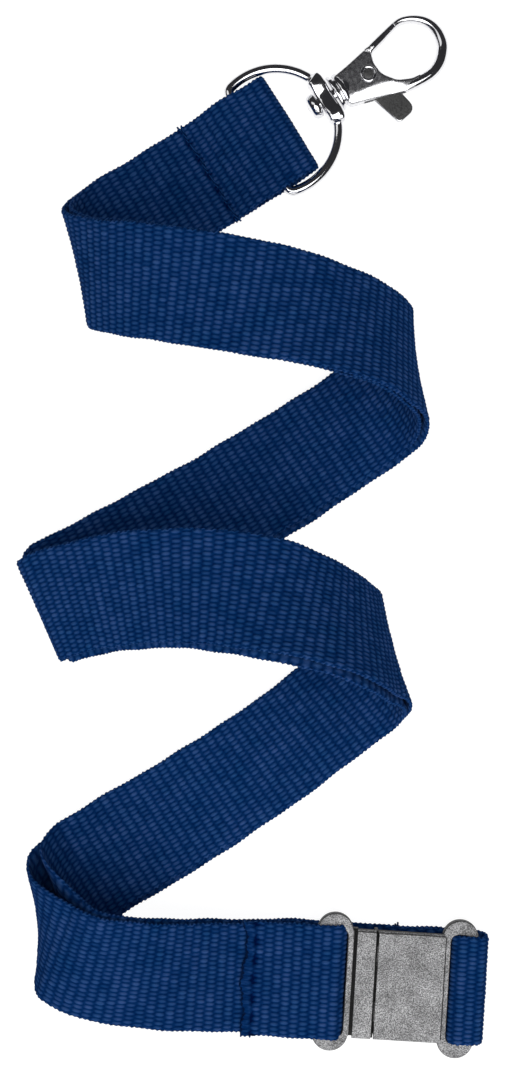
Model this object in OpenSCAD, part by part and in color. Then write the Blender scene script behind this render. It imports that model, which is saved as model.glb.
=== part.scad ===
// Lanyard: a doubled 20 mm webbing strap laid as a loose coil, with a swivel trigger hook
// on a D-ring at one end and a pull-apart safety buckle at the other.
// Millimetres, +Z up, origin under the middle of the object on the surface it lies on.

/* [Webbing] */
// Width of the webbing
web_w = 19.8; // [18:0.1:20]
// Thickness of one layer of webbing
web_t = 1; // [0.8:0.1:1.1]
// Distance between the middles of the two nested layers
pitch = 1.4; // [1.3:0.05:1.5]
// Extra room between the two layers in the last left-hand turn
last_turn_gap = 3; // [2:0.5:4]
// Length of the sewn loop that holds the D-ring
loop_len = 17.4; // [16:0.2:19]
// Diameter of the sewing thread
thread_d = 0.5; // [0.4:0.05:0.6]

/* [D-ring] */
// Diameter of the ring's wire
wire_d = 1.8; // [1.6:0.1:2]
// Radius of the ring's arc, to the middle of the wire
arc_r = 11.5; // [11.5:0.1:11.8]
// Radius of the two corners, to the middle of the wire
corner_r = 1.3; // [1.1:0.1:1.3]
// Distance from the straight bar to the middle of the arc
arc_x = 3.7; // [3.5:0.1:3.7]
// Height of the ring and of the hook's axis above the surface
axis_z = 2.8; // [2.8:0.1:3]

/* [Hook] */
// Width of the hook's eye at its round end
eye_w = 9.2; // [8.8:0.1:9.4]
// Width of the hook's arm
arm_w = 1.8; // [1.6:0.1:2]
// Thickness of the hook's arm
arm_t = 2.2; // [2:0.1:2.4]
// Thickness of the hook's plate around the lever
plate_t = 3.8; // [3.6:0.1:4]
// Thickness of the thumb lever
lever_t = 1.2; // [1:0.1:1.2]
// Diameter of the rivet that the lever turns on
rivet_d = 1.9; // [1.6:0.1:2]
// Diameter of the swivel stud
stud_d = 2.4; // [2:0.1:2.6]
// Running clearance on the radius of the stud and the rivet
run_clear = 0.05; // [0.03:0.01:0.08]

/* [Buckle] */
// Width of the buckle's body
buckle_w = 20.2; // [20:0.1:21]
// Thickness of the buckle's body
buckle_t = 4.4; // [4.2:0.1:4.8]
// Radius of the four rounded ears
ear_r = 3.4; // [3.2:0.1:3.6]
// Distance from the buckle's middle to the ears, along the strap
ear_x = 11.4; // [11.2:0.1:11.6]
// Thickness of the ears and slot frames
frame_t = 2.6; // [2.4:0.1:2.8]
// Gap between the two halves when they are closed
half_gap = 0.5; // [0.3:0.1:0.6]

/* [Hidden] */
$fn = 48;

blue = [0.02, 0.2, 0.45];
chrome = [0.8, 0.8, 0.82];
grey = [0.33, 0.33, 0.35];

// Where the strap's end at the D-ring and the buckle's middle lie, and how they are turned
end_at = [6.5, 76.9];
end_dir = 32;
buckle_at = [25.2, -81];
buckle_dir = -3.5;
middle = [0.443, -0.9055];

// The coil's half turns: middle of the fold's axis x, y, z; direction of the fold line;
// heading of the strap as it comes in; half width and half height of the fold; first and
// last angle around it; 1 where the strap climbs, -1 where it comes down; how far the strap
// slips along the fold line at its start and its end; how far the inner layer lies to one
// side of the outer at the start and the end; stiffness of the free span before the fold.
AXIS = 0; LINE = 1; HEADING = 2; HALF = 3; ANGLES = 4; CLIMB = 5; SLIP = 6; STAGGER = 7; SPAN = 8;
folds = [
    [[-23, 51.7, 9.7], -77.4, 212, [9.2, 9.2], [0, 125], 1, [-1.2, 1.2], [0, 0], 1],
    [[19, 29.3, 11.2], -81.5, -17, [9.5, 10.7], [65, 180], -1, [0, 0], [-0.4, -1], 1],
    [[-35.6, -11.4, 8], -66.3, 207, [3.7, 3.7], [0, 150], 1, [0.5, -0.5], [-2.2, 1.2], 1.1],
    [[15.3, -22, 10.7], -74.9, -9, [9.2, 10.2], [72, 180], -1, [0, 0], [1, 0], 1.4],
    [[-30.5, -68.3, 7.5], -86.4, 211, [8.7, 7], [0, 140], 1, [-0.5, 1], [-1.2, -0.4], 1.2]];
last_fold = len(folds) - 1;
fold_steps = 10;
span_steps = 12;
step_count = fold_steps + span_steps;

// ---- Ribbon geometry: a station is [point, direction along, direction across] ----
function unit(v) = v / norm(v);
function heading(a) = [cos(a), sin(a), 0];
function turn(v, a) = [v.x * cos(a) - v.y * sin(a), v.x * sin(a) + v.y * cos(a)];
function place(at, dir, p) = concat(at + turn([p.x, p.y], dir), [p.z]);
function ease(u) = u * u * (3 - 2 * u);
function mix(pair, u) = pair[0] + (pair[1] - pair[0]) * u;

function fold_station(f, u) = let(
        line = heading(f[LINE]), come = heading(f[HEADING]),
        side = cross(line, [0, 0, 1]) * come > 0 ? 1 : -1,
        out = side * cross(line, [0, 0, 1]),
        a = come * out, b = come * line,
        hw = f[HALF].x, hh = f[HALF].y,
        th = f[ANGLES][0] + (f[ANGLES][1] - f[ANGLES][0]) * u,
        along = b / a * (hw + hh) / 2 * (th - 90) * PI / 180 + mix(f[SLIP], u),
        round = unit(hw * cos(th) * out + f[CLIMB] * hh * sin(th) * [0, 0, 1]))
    [f[AXIS] + hw * sin(th) * out - f[CLIMB] * hh * cos(th) * [0, 0, 1] + along * line,
        a * round + b * line, -b * round + a * line];
function fold_stations(f) = [for (i = [0:fold_steps]) fold_station(f, i / fold_steps)];

// A free span between two stations, without its ends
function span_station(s, e, k, u) = let(
        l = k * norm(e[0] - s[0]),
        p = (2 * u ^ 3 - 3 * u ^ 2 + 1) * s[0] + (u ^ 3 - 2 * u ^ 2 + u) * l * s[1]
            + (3 * u ^ 2 - 2 * u ^ 3) * e[0] + (u ^ 3 - u ^ 2) * l * e[1],
        t = unit((6 * u ^ 2 - 6 * u) * s[0] + (3 * u ^ 2 - 4 * u + 1) * l * s[1]
            + (6 * u - 6 * u ^ 2) * e[0] + (3 * u ^ 2 - 2 * u) * l * e[1]),
        w = s[2] * (1 - ease(u)) + e[2] * ease(u))
    [p, t, unit(w - (w * t) * t)];
function span(s, e, k = 1) = [for (i = [1:span_steps - 1]) span_station(s, e, k, i / span_steps)];
// Flat stations at the two ends: across always points down the coil
function end_station(u, z) = [place(end_at, end_dir, [-u, 0, z]), -heading(end_dir), heading(end_dir - 90)];
function buckle_station(x, z, climb = 0) = let(t = heading(buckle_dir) * cos(climb) + [0, 0, sin(climb)])
    [place(buckle_at, buckle_dir, [x, 0, z]), t, heading(buckle_dir - 90)];

module ribbon(stations, w = web_w) {
    n = len(stations);
    points = [for (s = stations) let(nrm = cross(s[1], s[2]) * web_t / 2, half = s[2] * w / 2)
        each [s[0] - half - nrm, s[0] + half - nrm, s[0] + half + nrm, s[0] - half + nrm]];
    sides = [for (i = [0:n - 2], j = [0:3]) let(a = 4 * i + j, b = 4 * i + (j + 1) % 4)
        each j == 2 ? [[a, a + 4, b], [a + 4, b + 4, b]] : [[a, b + 4, b], [a, a + 4, b + 4]]];
    last = 4 * (n - 1);
    polyhedron(points, concat([[0, 1, 2, 3]], sides, [[last + 3, last + 2, last + 1, last]]), convexity = 8);
}

// Heights of the layers on the surface, in the loop and at the buckle
floor_outer = web_t / 2;
floor_inner = floor_outer + pitch;
loop_top = axis_z + wire_d / 2 + 0.2 + web_t / 2;
loop_r = (loop_top - floor_outer) / 2;
buckle_z = 2 * web_t + 0.7;
bar_z = buckle_z + buckle_t / 2;

// Buckle's two bars, counted from its middle; wrap_r is the webbing's middle round a bar
bar_d = 2.4;
tongue_bar = 11.45;
socket_bar = 12.05;
wrap_r = bar_d / 2 + 0.1 + web_t / 2;
// Where the lowest run of webbing starts and ends, and the middle of its turn up to the bar
join_at = -17.4;
run_end = 12.4;
turn_x = 14.5;
// How far the D-ring's bar lies back from the end of the strap's loop
bar_back = 7.2;

// The outer layer, station by station, from the D-ring's loop to the buckle
outer_start = end_station(loop_len, floor_outer);
outer_end = buckle_station(-30, 7.1, -13);
outer_join = buckle_station(-tongue_bar - 5, bar_z - wrap_r, -8);
turns = [for (f = folds) fold_stations(f)];
function last(list) = list[len(list) - 1];
outer_path = concat([outer_start],
    [for (i = [0:last_fold]) each concat(
        span(i == 0 ? outer_start : last(turns[i - 1]), turns[i][0], folds[i][SPAN]), turns[i])],
    span(last(turns[last_fold]), outer_end, 0.9), [outer_end]);

// Sideways offset of the inner layer and the room under the outer, for every station
stagger = concat([0],
    [for (i = [0:last_fold]) let(from = i == 0 ? 0 : folds[i - 1][STAGGER][1]) each concat(
        [for (k = [1:span_steps - 1]) mix([from, folds[i][STAGGER][0]], ease(k / span_steps))],
        [for (k = [0:fold_steps]) mix(folds[i][STAGGER], k / fold_steps)])],
    [for (k = [1:span_steps]) folds[last_fold][STAGGER][1]]);
room = let(first = 1 + step_count * last_fold + span_steps - 1) [for (j = [0:len(outer_path) - 1])
    last_turn_gap * max(0, sin(180 * (j - first + 2) / (fold_steps + 4)))
        * (j > first - 3 && j < first + fold_steps + 3 ? 1 : 0)];

// A station with neither edge lower than the height that it can lie at
function settle(s, low) = let(
        a = s[0] - s[2] * web_w / 2, b = s[0] + s[2] * web_w / 2,
        a2 = [a.x, a.y, max(a.z, low)], b2 = [b.x, b.y, max(b.z, low)])
    [(a2 + b2) / 2, s[1], unit(b2 - a2)];
outer_layer = [for (s = outer_path) settle(s, floor_outer)];
inner_layer = [for (j = [0:len(outer_layer) - 1]) let(s = outer_layer[j])
    [s[0] + cross(s[1], s[2]) * (pitch + room[j]) + s[2] * stagger[j], s[1], s[2]]];
inner_end = last(inner_layer);
inner_join = buckle_station(join_at, floor_outer);

// Stations of one half turn, from the middle of the span before it to that of the next
function turn_part(layer, i) = let(
        from = i == 0 ? 0 : step_count * i + span_steps / 2,
        to = i == last_fold ? len(layer) - 1 : step_count * (i + 1) + span_steps / 2)
    [for (j = [from:to]) layer[j]];
module outer_turn(i) { color(blue) ribbon(turn_part(outer_layer, i)); }
module inner_turn(i) { color(blue) ribbon(turn_part(inner_layer, i)); }

// Sewn loop round the D-ring's bar: up from the lower layer, round the end and back
module ring_loop() {
    up = [end_station(loop_len, floor_outer)[0], heading(end_dir), heading(end_dir - 90)];
    middle = [-loop_r - web_t / 2, 0, floor_outer + loop_r];
    round_end = [for (a = [-90:15:90])
        [place(end_at, end_dir, middle + loop_r * [cos(a), 0, sin(a)]),
            heading(end_dir) * -sin(a) + [0, 0, cos(a)], heading(end_dir - 90)]];
    top = end_station(loop_len - 7.4, loop_top);
    tail = end_station(loop_len, floor_inner);
    color(blue) ribbon(concat([up], round_end, [top], span(top, tail), [tail]));
}

// Layer that lies on the surface under the buckle
module inner_floor_run() {
    color(blue) on_buckle() translate([join_at, -web_w / 2, 0]) cube([run_end - join_at, web_w, web_t]);
}
module inner_slack() {
    color(blue) ribbon(concat([inner_end], span(inner_end, inner_join), [inner_join]));
}

module on_buckle() { translate([buckle_at.x, buckle_at.y, 0]) rotate(buckle_dir) children(); }
module on_hook() {
    translate([end_at.x, end_at.y, 0]) rotate(end_dir) translate([-bar_back, 0, axis_z]) children();
}

// Outer layer under the tongue's bar, round it and back over itself
tail_under = span_station(outer_end, outer_join, 1, 0.15);
tail_lift = cross(tail_under[1], -tail_under[2]) * (web_t + 0.1);
tail_end = [tail_under[0] + tail_lift, -tail_under[1], tail_under[2]];
tail_start = [place(buckle_at, buckle_dir, [-tongue_bar - 4, 0, bar_z + wrap_r]), -heading(buckle_dir),
    heading(buckle_dir - 90)];
module tongue_loop() {
    round_bar = [for (a = [-90:15:90])
        [place(buckle_at, buckle_dir, [-tongue_bar + wrap_r * cos(a), 0, bar_z + wrap_r * sin(a)]),
            heading(buckle_dir) * -sin(a) + [0, 0, cos(a)], heading(buckle_dir - 90)]];
    color(blue) ribbon(concat([outer_end], span(outer_end, outer_join), [outer_join], round_bar,
        [tail_start], span(tail_start, tail_end, 1), [tail_end]));
}

// Inner layer round the socket's bar and back under the buckle
module socket_loop() {
    low = web_t / 2;
    r = (bar_z + wrap_r - low) / 2;
    rise = [for (a = [-90:15:90])
        [[turn_x + wrap_r * cos(a), low + r + r * sin(a)], [-sin(a), cos(a)]]];
    over = [for (a = [90:15:180])
        [[socket_bar, bar_z] + wrap_r * [cos(a), sin(a)], [-sin(a), cos(a)]]];
    back = [[[socket_bar - wrap_r + 0.15, 3.4], [-0.5, -1]],
        [[run_end - 3.4, 2.05], [-1, -0.1]],
        [[-2, web_t * 1.5 + 0.1], [-1, 0]]];
    color(blue) ribbon([for (s = concat([[[run_end, low], [1, 0]]], rise, over, back))
        [place(buckle_at, buckle_dir, [s[0].x, 0, s[0].y]),
            unit(heading(buckle_dir) * s[1].x + [0, 0, s[1].y]), heading(buckle_dir - 90)]]);
}

// A row of stitches across the strap
stitch_count = 9;
module stitches() {
    gap = web_w / stitch_count;
    for (i = [0:stitch_count - 1]) translate([0, -web_w / 2 + gap * (i + 0.5), 0]) rotate([90, 0, 0])
        cylinder(h = gap * 0.7, d = thread_d, center = true);
}
module ring_seam() {
    color(blue) translate([end_at.x, end_at.y, floor_inner + web_t / 2 + thread_d / 2]) rotate(end_dir)
        translate([-loop_len - 0.6, 0, 0]) stitches();
}
module tongue_seam() {
    seam = span_station(tail_start, tail_end, 1, 0.83);
    color(blue) translate(seam[0] + [0, 0, web_t / 2 + thread_d / 2 + 0.15]) rotate(buckle_dir) stitches();
}
module socket_seam() {
    color(blue) on_buckle() translate([0, 0, 2 * web_t + 0.17 + thread_d / 2]) stitches();
}

// D-ring in its own plane, bar along Y at x = 0, as [point, direction outwards] round the wire
corner_y = sqrt((arc_r - corner_r) ^ 2 - (corner_r - arc_x) ^ 2);
meet = atan2(corner_y, corner_r - arc_x);
flat_from = 19;
function arc_points(c, r, from, to, n) = [for (i = [0:n - 1]) let(a = from + (to - from) * i / n)
    [[c.x + r * cos(a), c.y + r * sin(a), 0], [cos(a), sin(a), 0]]];
ring_path = concat(
    [for (i = [0:3]) [[0, corner_y * (i / 2 - 1), 0], [-1, 0, 0]]],
    arc_points([corner_r, corner_y], corner_r, 180, meet, 5),
    arc_points([arc_x, 0], arc_r, meet, flat_from, 18),
    arc_points([arc_x, 0], arc_r, -flat_from, -meet, 18),
    arc_points([corner_r, -corner_y], corner_r, -meet, -180, 5));
module ring_wire(sides = 14) {
    n = len(ring_path);
    points = [for (s = ring_path, k = [0:sides - 1]) let(a = 360 * k / sides)
        s[0] + wire_d / 2 * (cos(a) * s[1] + [0, 0, sin(a)])];
    polyhedron(points, [for (i = [0:n - 1], k = [0:sides - 1])
        let(a = i * sides, b = (i + 1) % n * sides, l = (k + 1) % sides)
            each [[a + k, b + k, b + l], [a + k, b + l, a + l]]], convexity = 6);
}
boss_x = arc_x + arc_r * cos(flat_from);
boss_size = [3.4, 9, 4.4];
boss_hole = 6;
module d_ring() {
    color(chrome) on_hook() difference() {
        union() {
            ring_wire();
            translate([boss_x, 0, 0]) rotate([0, 90, 0]) linear_extrude(boss_size.x, center = true)
                union() {
                    square([boss_size.z, boss_size.y - boss_size.z], center = true);
                    for (s = [-1, 1])
                        translate([0, s * (boss_size.y - boss_size.z) / 2]) circle(d = boss_size.z);
                }
        }
        translate([boss_x, 0, 0]) rotate([0, 90, 0])
            cylinder(h = boss_hole, d = stud_d + 2 * run_clear, center = true);
    }
}

// Hook along X from the ring's boss. Outline corners are [point from its face, radius].
face_x = boss_x + boss_size.x / 2;
pivot = [face_x + 7.1, -0.4];
eye = [face_x + 16.65, -0.55];
loop_centre = [face_x + 16.7, -0.85];
small_eye = [face_x + 12.8, -0.6];
small_eye_r = 3.2;
back_corners = [[[2.3, -2.6], 0.7], [[12, -5.2], 0.9]];
plate_corners = [[[2, 2.1], 0.6], [[8.3, 3.1], 0.8], [[2.3, -2.6], 0.7], [[9.5, -4.4], 0.9]];
// X ranges of the thick plate and of the slot for the lever, from the hook's face
plate_x = [1.5, 12.7];
slot_x = [4, 12.2];
slot_t = lever_t + 0.3;
// Swivel stud: head's small and large diameter and length, gap under it, and how far it enters the hook
stud_head = [3.2, 4.2, 1.35];
stud_play = 0.1;
stud_grip = 2.05;
// Collar steps on the hook's neck: start from its face, length and diameter
collar = [[0.15, 0.9, 5.6], [0.15, 2.4, 4.4], [1.35, 0.6, 5.2]];
// Lever: gate's reach from the pivot, gap at its end, and its corners as [point, radius]
gate_r = 10.1;
gate_clear = 0.2;
gate_from = [9, 1.2];
gate_root = [0.8, 0.6];
gate_line = [[[9.6, 3.7], 0.75], [[17, 5.25], 0.75]];
thumb_line = [[[9, -5], 2], [[9.7, -8.4], 1.9]];
spring_wire = 0.36;
rivet_head = [3, 0.3];

module spot(c) { translate([face_x, 0] + c[0]) circle(r = c[1]); }
module disc(p, r) { translate(p) circle(r = r); }
module swivel_stud() {
    under = boss_x - boss_size.x / 2 - stud_play;
    color(chrome) on_hook() rotate([0, 90, 0]) {
        translate([0, 0, under - stud_head[2]])
            cylinder(h = stud_head[2], d1 = stud_head[0], d2 = stud_head[1]);
        translate([0, 0, under - 0.05]) cylinder(h = face_x + stud_grip - under + 0.05, d = stud_d);
    }
}
module eye_shape() {
    hull() {
        disc(eye, eye_w / 2);
        disc(small_eye, small_eye_r);
    }
}
module hook_outline() {
    hull() {
        disc(loop_centre, eye_w / 2 + arm_w);
        for (c = back_corners) spot(c);
    }
    hull() for (c = plate_corners) spot(c);
}
module gate_gap() {
    intersection() {
        translate([face_x + gate_from.x, gate_from.y]) square([20, 12]);
        disc(pivot, gate_r + gate_clear);
    }
}
module hook_body() {
    color(chrome) on_hook() difference() {
        union() {
            linear_extrude(arm_t, center = true) difference() {
                hook_outline();
                eye_shape();
                gate_gap();
            }
            linear_extrude(plate_t, center = true) difference() {
                intersection() {
                    hook_outline();
                    translate([face_x + plate_x[0], -8]) square([plate_x[1] - plate_x[0], 14]);
                }
                eye_shape();
                gate_gap();
            }
            for (c = collar)
                translate([face_x + c[0], 0, 0]) rotate([0, 90, 0]) cylinder(h = c[1], d = c[2]);
        }
        translate([face_x + slot_x[0], -9, -slot_t / 2]) cube([slot_x[1] - slot_x[0], 20, slot_t]);
        translate([pivot.x, pivot.y, 0]) cylinder(h = 10, d = rivet_d, center = true);
        translate([face_x - 1, 0, 0]) rotate([0, 90, 0]) cylinder(h = stud_grip + 1, d = stud_d);
    }
}
module thumb_lever() {
    color(chrome) on_hook() difference() {
        linear_extrude(lever_t, center = true) {
            disc(pivot, 2.1);
            intersection() {
                union() {
                    hull() {
                        disc(pivot + gate_root, 1.4);
                        spot(gate_line[0]);
                    }
                    hull() for (c = gate_line) spot(c);
                }
                disc(pivot, gate_r);
            }
            hull() {
                disc(pivot, 1.9);
                spot(thumb_line[0]);
            }
            hull() for (c = thumb_line) spot(c);
        }
        translate([pivot.x, pivot.y, 0]) cylinder(h = 10, d = rivet_d + 2 * run_clear, center = true);
        // Recess for the spring's wire
        translate([pivot.x, pivot.y, 0.05]) cylinder(h = 2, d = rivet_d + 1.5);
    }
}
module lever_rivet() {
    color(chrome) on_hook() translate([pivot.x, pivot.y, 0]) {
        cylinder(h = plate_t + 0.1, d = rivet_d, center = true);
        for (s = [-1, 1]) translate([0, 0, s * (plate_t / 2 + rivet_head[1] / 2)])
            cylinder(h = rivet_head[1], d = rivet_head[0], center = true);
    }
}
module lever_spring() {
    color(chrome) on_hook() translate([pivot.x, pivot.y, 0.37]) rotate_extrude(angle = 310)
        translate([rivet_d / 2 + 0.35, 0]) circle(d = spring_wire, $fn = 16);
}

// Buckle along X from its middle: X ranges of the walls beside the two slots, the tongue's
// shoulder, the line where the halves meet, and the socket's far end
ear_y = 9.35;
slot_y = web_w / 2 + 0.25;
tongue_wall = [-9.05, -7.9];
socket_wall = [-9.7, -8.5];
shoulder_x = -7.6;
join_x = -4;
body_end = 8.7;
// Link between the tongue's wall and its shoulder, and the tongue's two-pronged blade
link = [-8.4, 1.2, 1.8];
blade = [9, 14, 1.5];
blade_clear = 0.2;
blade_room = 0.5;
prong_gap = 6;
prong_root = 2;

// Slot with its two ears and its bar, ears towards -X
module slot_frame(bar, wall) {
    difference() {
        union() {
            for (s = [-1, 1])
                translate([-ear_x, s * ear_y, 0]) cylinder(h = frame_t, r = ear_r, center = true);
            translate([wall[0], -ear_y, -frame_t / 2]) cube([wall[1] - wall[0], 2 * ear_y, frame_t]);
        }
        translate([wall[0] - 20, -slot_y, -frame_t]) cube([20, 2 * slot_y, 2 * frame_t]);
    }
    translate([-bar, 0, 0]) rotate([90, 0, 0]) cylinder(h = 2 * slot_y + 0.6, d = bar_d, center = true);
}
module buckle_tongue() {
    link_w = buckle_w - link[2];
    color(grey) on_buckle() translate([0, 0, bar_z]) {
        slot_frame(tongue_bar, tongue_wall);
        translate([link[0], -link_w / 2, -link[2] / 2]) cube([link[1], link_w, link[2]]);
        translate([shoulder_x, -buckle_w / 2, -buckle_t / 2])
            cube([join_x - shoulder_x, buckle_w, buckle_t]);
        difference() {
            translate([join_x - 0.1, -blade.y / 2, -blade.z / 2]) cube([blade.x + 0.1, blade.y, blade.z]);
            translate([join_x + prong_root, -prong_gap / 2, -blade.z])
                cube([blade.x, prong_gap, 2 * blade.z]);
        }
    }
}
module buckle_socket() {
    start = join_x + half_gap;
    color(grey) on_buckle() translate([0, 0, bar_z]) {
        mirror([1, 0, 0]) slot_frame(socket_bar, socket_wall);
        difference() {
            translate([start, -buckle_w / 2, -buckle_t / 2]) cube([body_end - start, buckle_w, buckle_t]);
            translate([join_x - 1, -blade.y / 2 - blade_clear, -blade.z / 2 - blade_clear])
                cube([1 + blade.x + blade_room + 0.1, blade.y + 2 * blade_clear, blade.z + 2 * blade_clear]);
        }
    }
}

translate(middle) ring_loop();
for (i = [0:4]) {
    translate(middle) outer_turn(i);
    translate(middle) inner_turn(i);
}
translate(middle) tongue_loop();
translate(middle) inner_slack();
translate(middle) inner_floor_run();
translate(middle) socket_loop();
translate(middle) ring_seam();
translate(middle) tongue_seam();
translate(middle) socket_seam();
translate(middle) d_ring();
translate(middle) swivel_stud();
translate(middle) hook_body();
translate(middle) thumb_lever();
translate(middle) lever_rivet();
translate(middle) lever_spring();
translate(middle) buckle_tongue();
translate(middle) buckle_socket();
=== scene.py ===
"""Looks of the neck lanyard: woven strap, chrome swivel hook on its D-ring, safety buckle."""
import math

import bmesh
import bpy
import numpy as np
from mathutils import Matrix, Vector


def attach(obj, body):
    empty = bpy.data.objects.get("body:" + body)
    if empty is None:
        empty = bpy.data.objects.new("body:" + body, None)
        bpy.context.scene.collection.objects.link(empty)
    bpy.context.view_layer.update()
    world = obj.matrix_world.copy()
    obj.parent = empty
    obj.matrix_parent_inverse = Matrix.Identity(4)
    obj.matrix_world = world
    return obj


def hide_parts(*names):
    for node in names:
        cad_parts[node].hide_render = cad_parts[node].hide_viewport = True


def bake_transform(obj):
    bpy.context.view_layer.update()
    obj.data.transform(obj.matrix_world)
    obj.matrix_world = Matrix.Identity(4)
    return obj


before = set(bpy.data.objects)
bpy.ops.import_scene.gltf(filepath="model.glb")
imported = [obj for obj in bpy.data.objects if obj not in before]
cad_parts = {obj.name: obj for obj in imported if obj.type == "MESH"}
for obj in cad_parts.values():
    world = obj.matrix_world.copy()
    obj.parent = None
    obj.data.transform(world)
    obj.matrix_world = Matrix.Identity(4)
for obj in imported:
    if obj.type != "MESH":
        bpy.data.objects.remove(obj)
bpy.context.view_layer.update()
MM = 0.001

# ---- Sizes and places of part.scad, in millimetres and degrees ----
WEB_W, WEB_T, PITCH, LAST_TURN_GAP, LOOP_LEN = 19.8, 1.0, 1.4, 3.0, 17.4
WIRE_D, ARC_R, CORNER_R, ARC_X, AXIS_Z = 1.8, 11.5, 1.3, 3.7, 2.8
BAR_BACK, FLAT_FROM = 7.2, 19
MIDDLE = np.array([0.443, -0.9055, 0.0])
END_AT, END_DIR = (6.5, 76.9), 32
BUCKLE_AT, BUCKLE_DIR = (25.2, -81.0), -3.5
BUCKLE_W, BUCKLE_T, EAR_R, EAR_X, EAR_Y, FRAME_T = 19.75, 4.4, 3.3, 11.4, 9.2, 2.6
TONGUE_BAR, SOCKET_BAR, TURN_X, RUN_END, BAR_D, JOIN_AT = 11.45, 12.05, 14.5, 12.4, 2.4, -17.4
FLOOR_OUTER = WEB_T / 2
FLOOR_INNER = FLOOR_OUTER + PITCH
LOOP_TOP = AXIS_Z + WIRE_D / 2 + 0.2 + WEB_T / 2
LOOP_R = (LOOP_TOP - FLOOR_OUTER) / 2
BUCKLE_Z = 2 * WEB_T + 0.7
BAR_Z = BUCKLE_Z + BUCKLE_T / 2
WRAP_R = BAR_D / 2 + 0.1 + WEB_T / 2
BOSS_X = ARC_X + ARC_R * math.cos(math.radians(FLAT_FROM))
FACE_X = BOSS_X + 1.7
PIVOT = (FACE_X + 7.1, -0.4)

# Where the strap rolls over: a line that it turns about, with the strap's heading as it comes in, the turn's
# half width and height, its first and last angle, whether it climbs or sinks, how far it slips along the line,
# how far the inner layer lies to one side at each end, and how full the span before it is
AXIS, LINE, HEADING, HALF, ANGLES, CLIMB, SLIP, STAGGER, SPAN = range(9)
FOLDS = [
    [(-23, 51.7, 9.7), -77.4, 212, (9.2, 9.2), (0, 125), 1, (-1.2, 1.2), (0, 0), 1],
    [(19, 29.3, 11.2), -81.5, -17, (9.5, 10.7), (65, 180), -1, (0, 0), (-0.4, -1), 1],
    [(-35.6, -11.4, 8), -66.3, 207, (3.7, 3.7), (0, 150), 1, (0.5, -0.5), (-2.2, 1.2), 1.1],
    [(15.3, -22, 10.7), -74.9, -9, (9.2, 10.2), (72, 180), -1, (0, 0), (1, 0), 1.4],
    [(-30.5, -68.3, 7.5), -86.4, 211, (8.7, 7), (0, 140), 1, (-0.5, 1), (-1.2, -0.4), 1.2],
]

# Weave: rows of floats along the strap, warp ends across it, and how high and round the floats are
ROW, END, FLOAT_HALF, FLOAT_RISE, FLOAT_ROUND, GROOVE = 1.75, 0.4125, 0.36, 0.12, 0.2, 0.07
STEP, FACE_COLS, BACK_COLS = 0.25, 141, 41
HALF_FACE = END / 3 * (FACE_COLS - 1) / 2  # a third of an end from one column to the next
SELVEDGE = (50, 17, -17, -50)  # angles of the points round each rolled edge
FRAYED = 1.7  # how far the weave is loose beside a cut end
STITCH, STITCH_R, TUFT_R = 3.3, 0.23, 0.2
BEND_STEPS = range(-90, 91, 6)  # angles of the stations round a bar

rng = np.random.default_rng(7)
JITTER = rng.normal(0, 1, (64, 512))


# ---- The route of the two layers, as in part.scad ----
def unit(v):
    return v / np.linalg.norm(v)


def heading(angle):
    return np.array([math.cos(math.radians(angle)), math.sin(math.radians(angle)), 0.0])


def place(at, direction, p):
    return (np.array([at[0], at[1], 0.0]) + heading(direction) * p[0]
            + heading(direction + 90) * p[1] + np.array([0, 0, p[2]]))


def ease(u):
    return u * u * (3 - 2 * u)


def mix(pair, u):
    return pair[0] + (pair[1] - pair[0]) * u


UP = np.array([0.0, 0.0, 1.0])


def fold_station(f, u):
    """The strap's middle, and its directions along and across, at the share u of a fold from 0 to 1."""
    line, come = heading(f[LINE]), heading(f[HEADING])
    out = np.cross(line, UP)
    out = out * (1 if out @ come > 0 else -1)
    a, b = come @ out, come @ line
    hw, hh = f[HALF]
    angle = mix(f[ANGLES], u)
    c, s = math.cos(math.radians(angle)), math.sin(math.radians(angle))
    along = b / a * (hw + hh) / 2 * math.radians(angle - 90) + mix(f[SLIP], u)
    turned = unit(hw * c * out + f[CLIMB] * hh * s * UP)
    point = np.array(f[AXIS]) + hw * s * out - f[CLIMB] * hh * c * UP + along * line
    return point, a * turned + b * line, -b * turned + a * line


def span_station(s, e, k, u):
    """The same at the share u of a smooth run from station s to station e; k is how full its curve is."""
    reach = k * np.linalg.norm(e[0] - s[0])
    p = ((2 * u**3 - 3 * u**2 + 1) * s[0] + (u**3 - 2 * u**2 + u) * reach * s[1]
         + (3 * u**2 - 2 * u**3) * e[0] + (u**3 - u**2) * reach * e[1])
    t = unit((6 * u**2 - 6 * u) * s[0] + (3 * u**2 - 4 * u + 1) * reach * s[1]
             + (6 * u - 6 * u**2) * e[0] + (3 * u**2 - 2 * u) * reach * e[1])
    w = s[2] * (1 - ease(u)) + e[2] * ease(u)
    return p, t, unit(w - (w @ t) * t)


def end_station(u, z):
    return place(END_AT, END_DIR, (-u, 0, z)), -heading(END_DIR), heading(END_DIR - 90)


def buckle_station(x, z, climb=0):
    t = heading(BUCKLE_DIR) * math.cos(math.radians(climb)) + UP * math.sin(math.radians(climb))
    return place(BUCKLE_AT, BUCKLE_DIR, (x, 0, z)), t, heading(BUCKLE_DIR - 90)


def settle(s, low):
    """The station lifted where either edge would lie under low."""
    a, b = s[0] - s[2] * WEB_W / 2, s[0] + s[2] * WEB_W / 2
    a[2], b[2] = max(a[2], low), max(b[2], low)
    return (a + b) / 2, s[1], unit(b - a)


OUTER_START = end_station(LOOP_LEN, FLOOR_OUTER)
OUTER_END = buckle_station(-30, 7.1, -13)
OUTER_JOIN = buckle_station(-TONGUE_BAR - 5, BAR_Z - WRAP_R, -8)
FINE = 40  # stations in each span and in each fold


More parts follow.
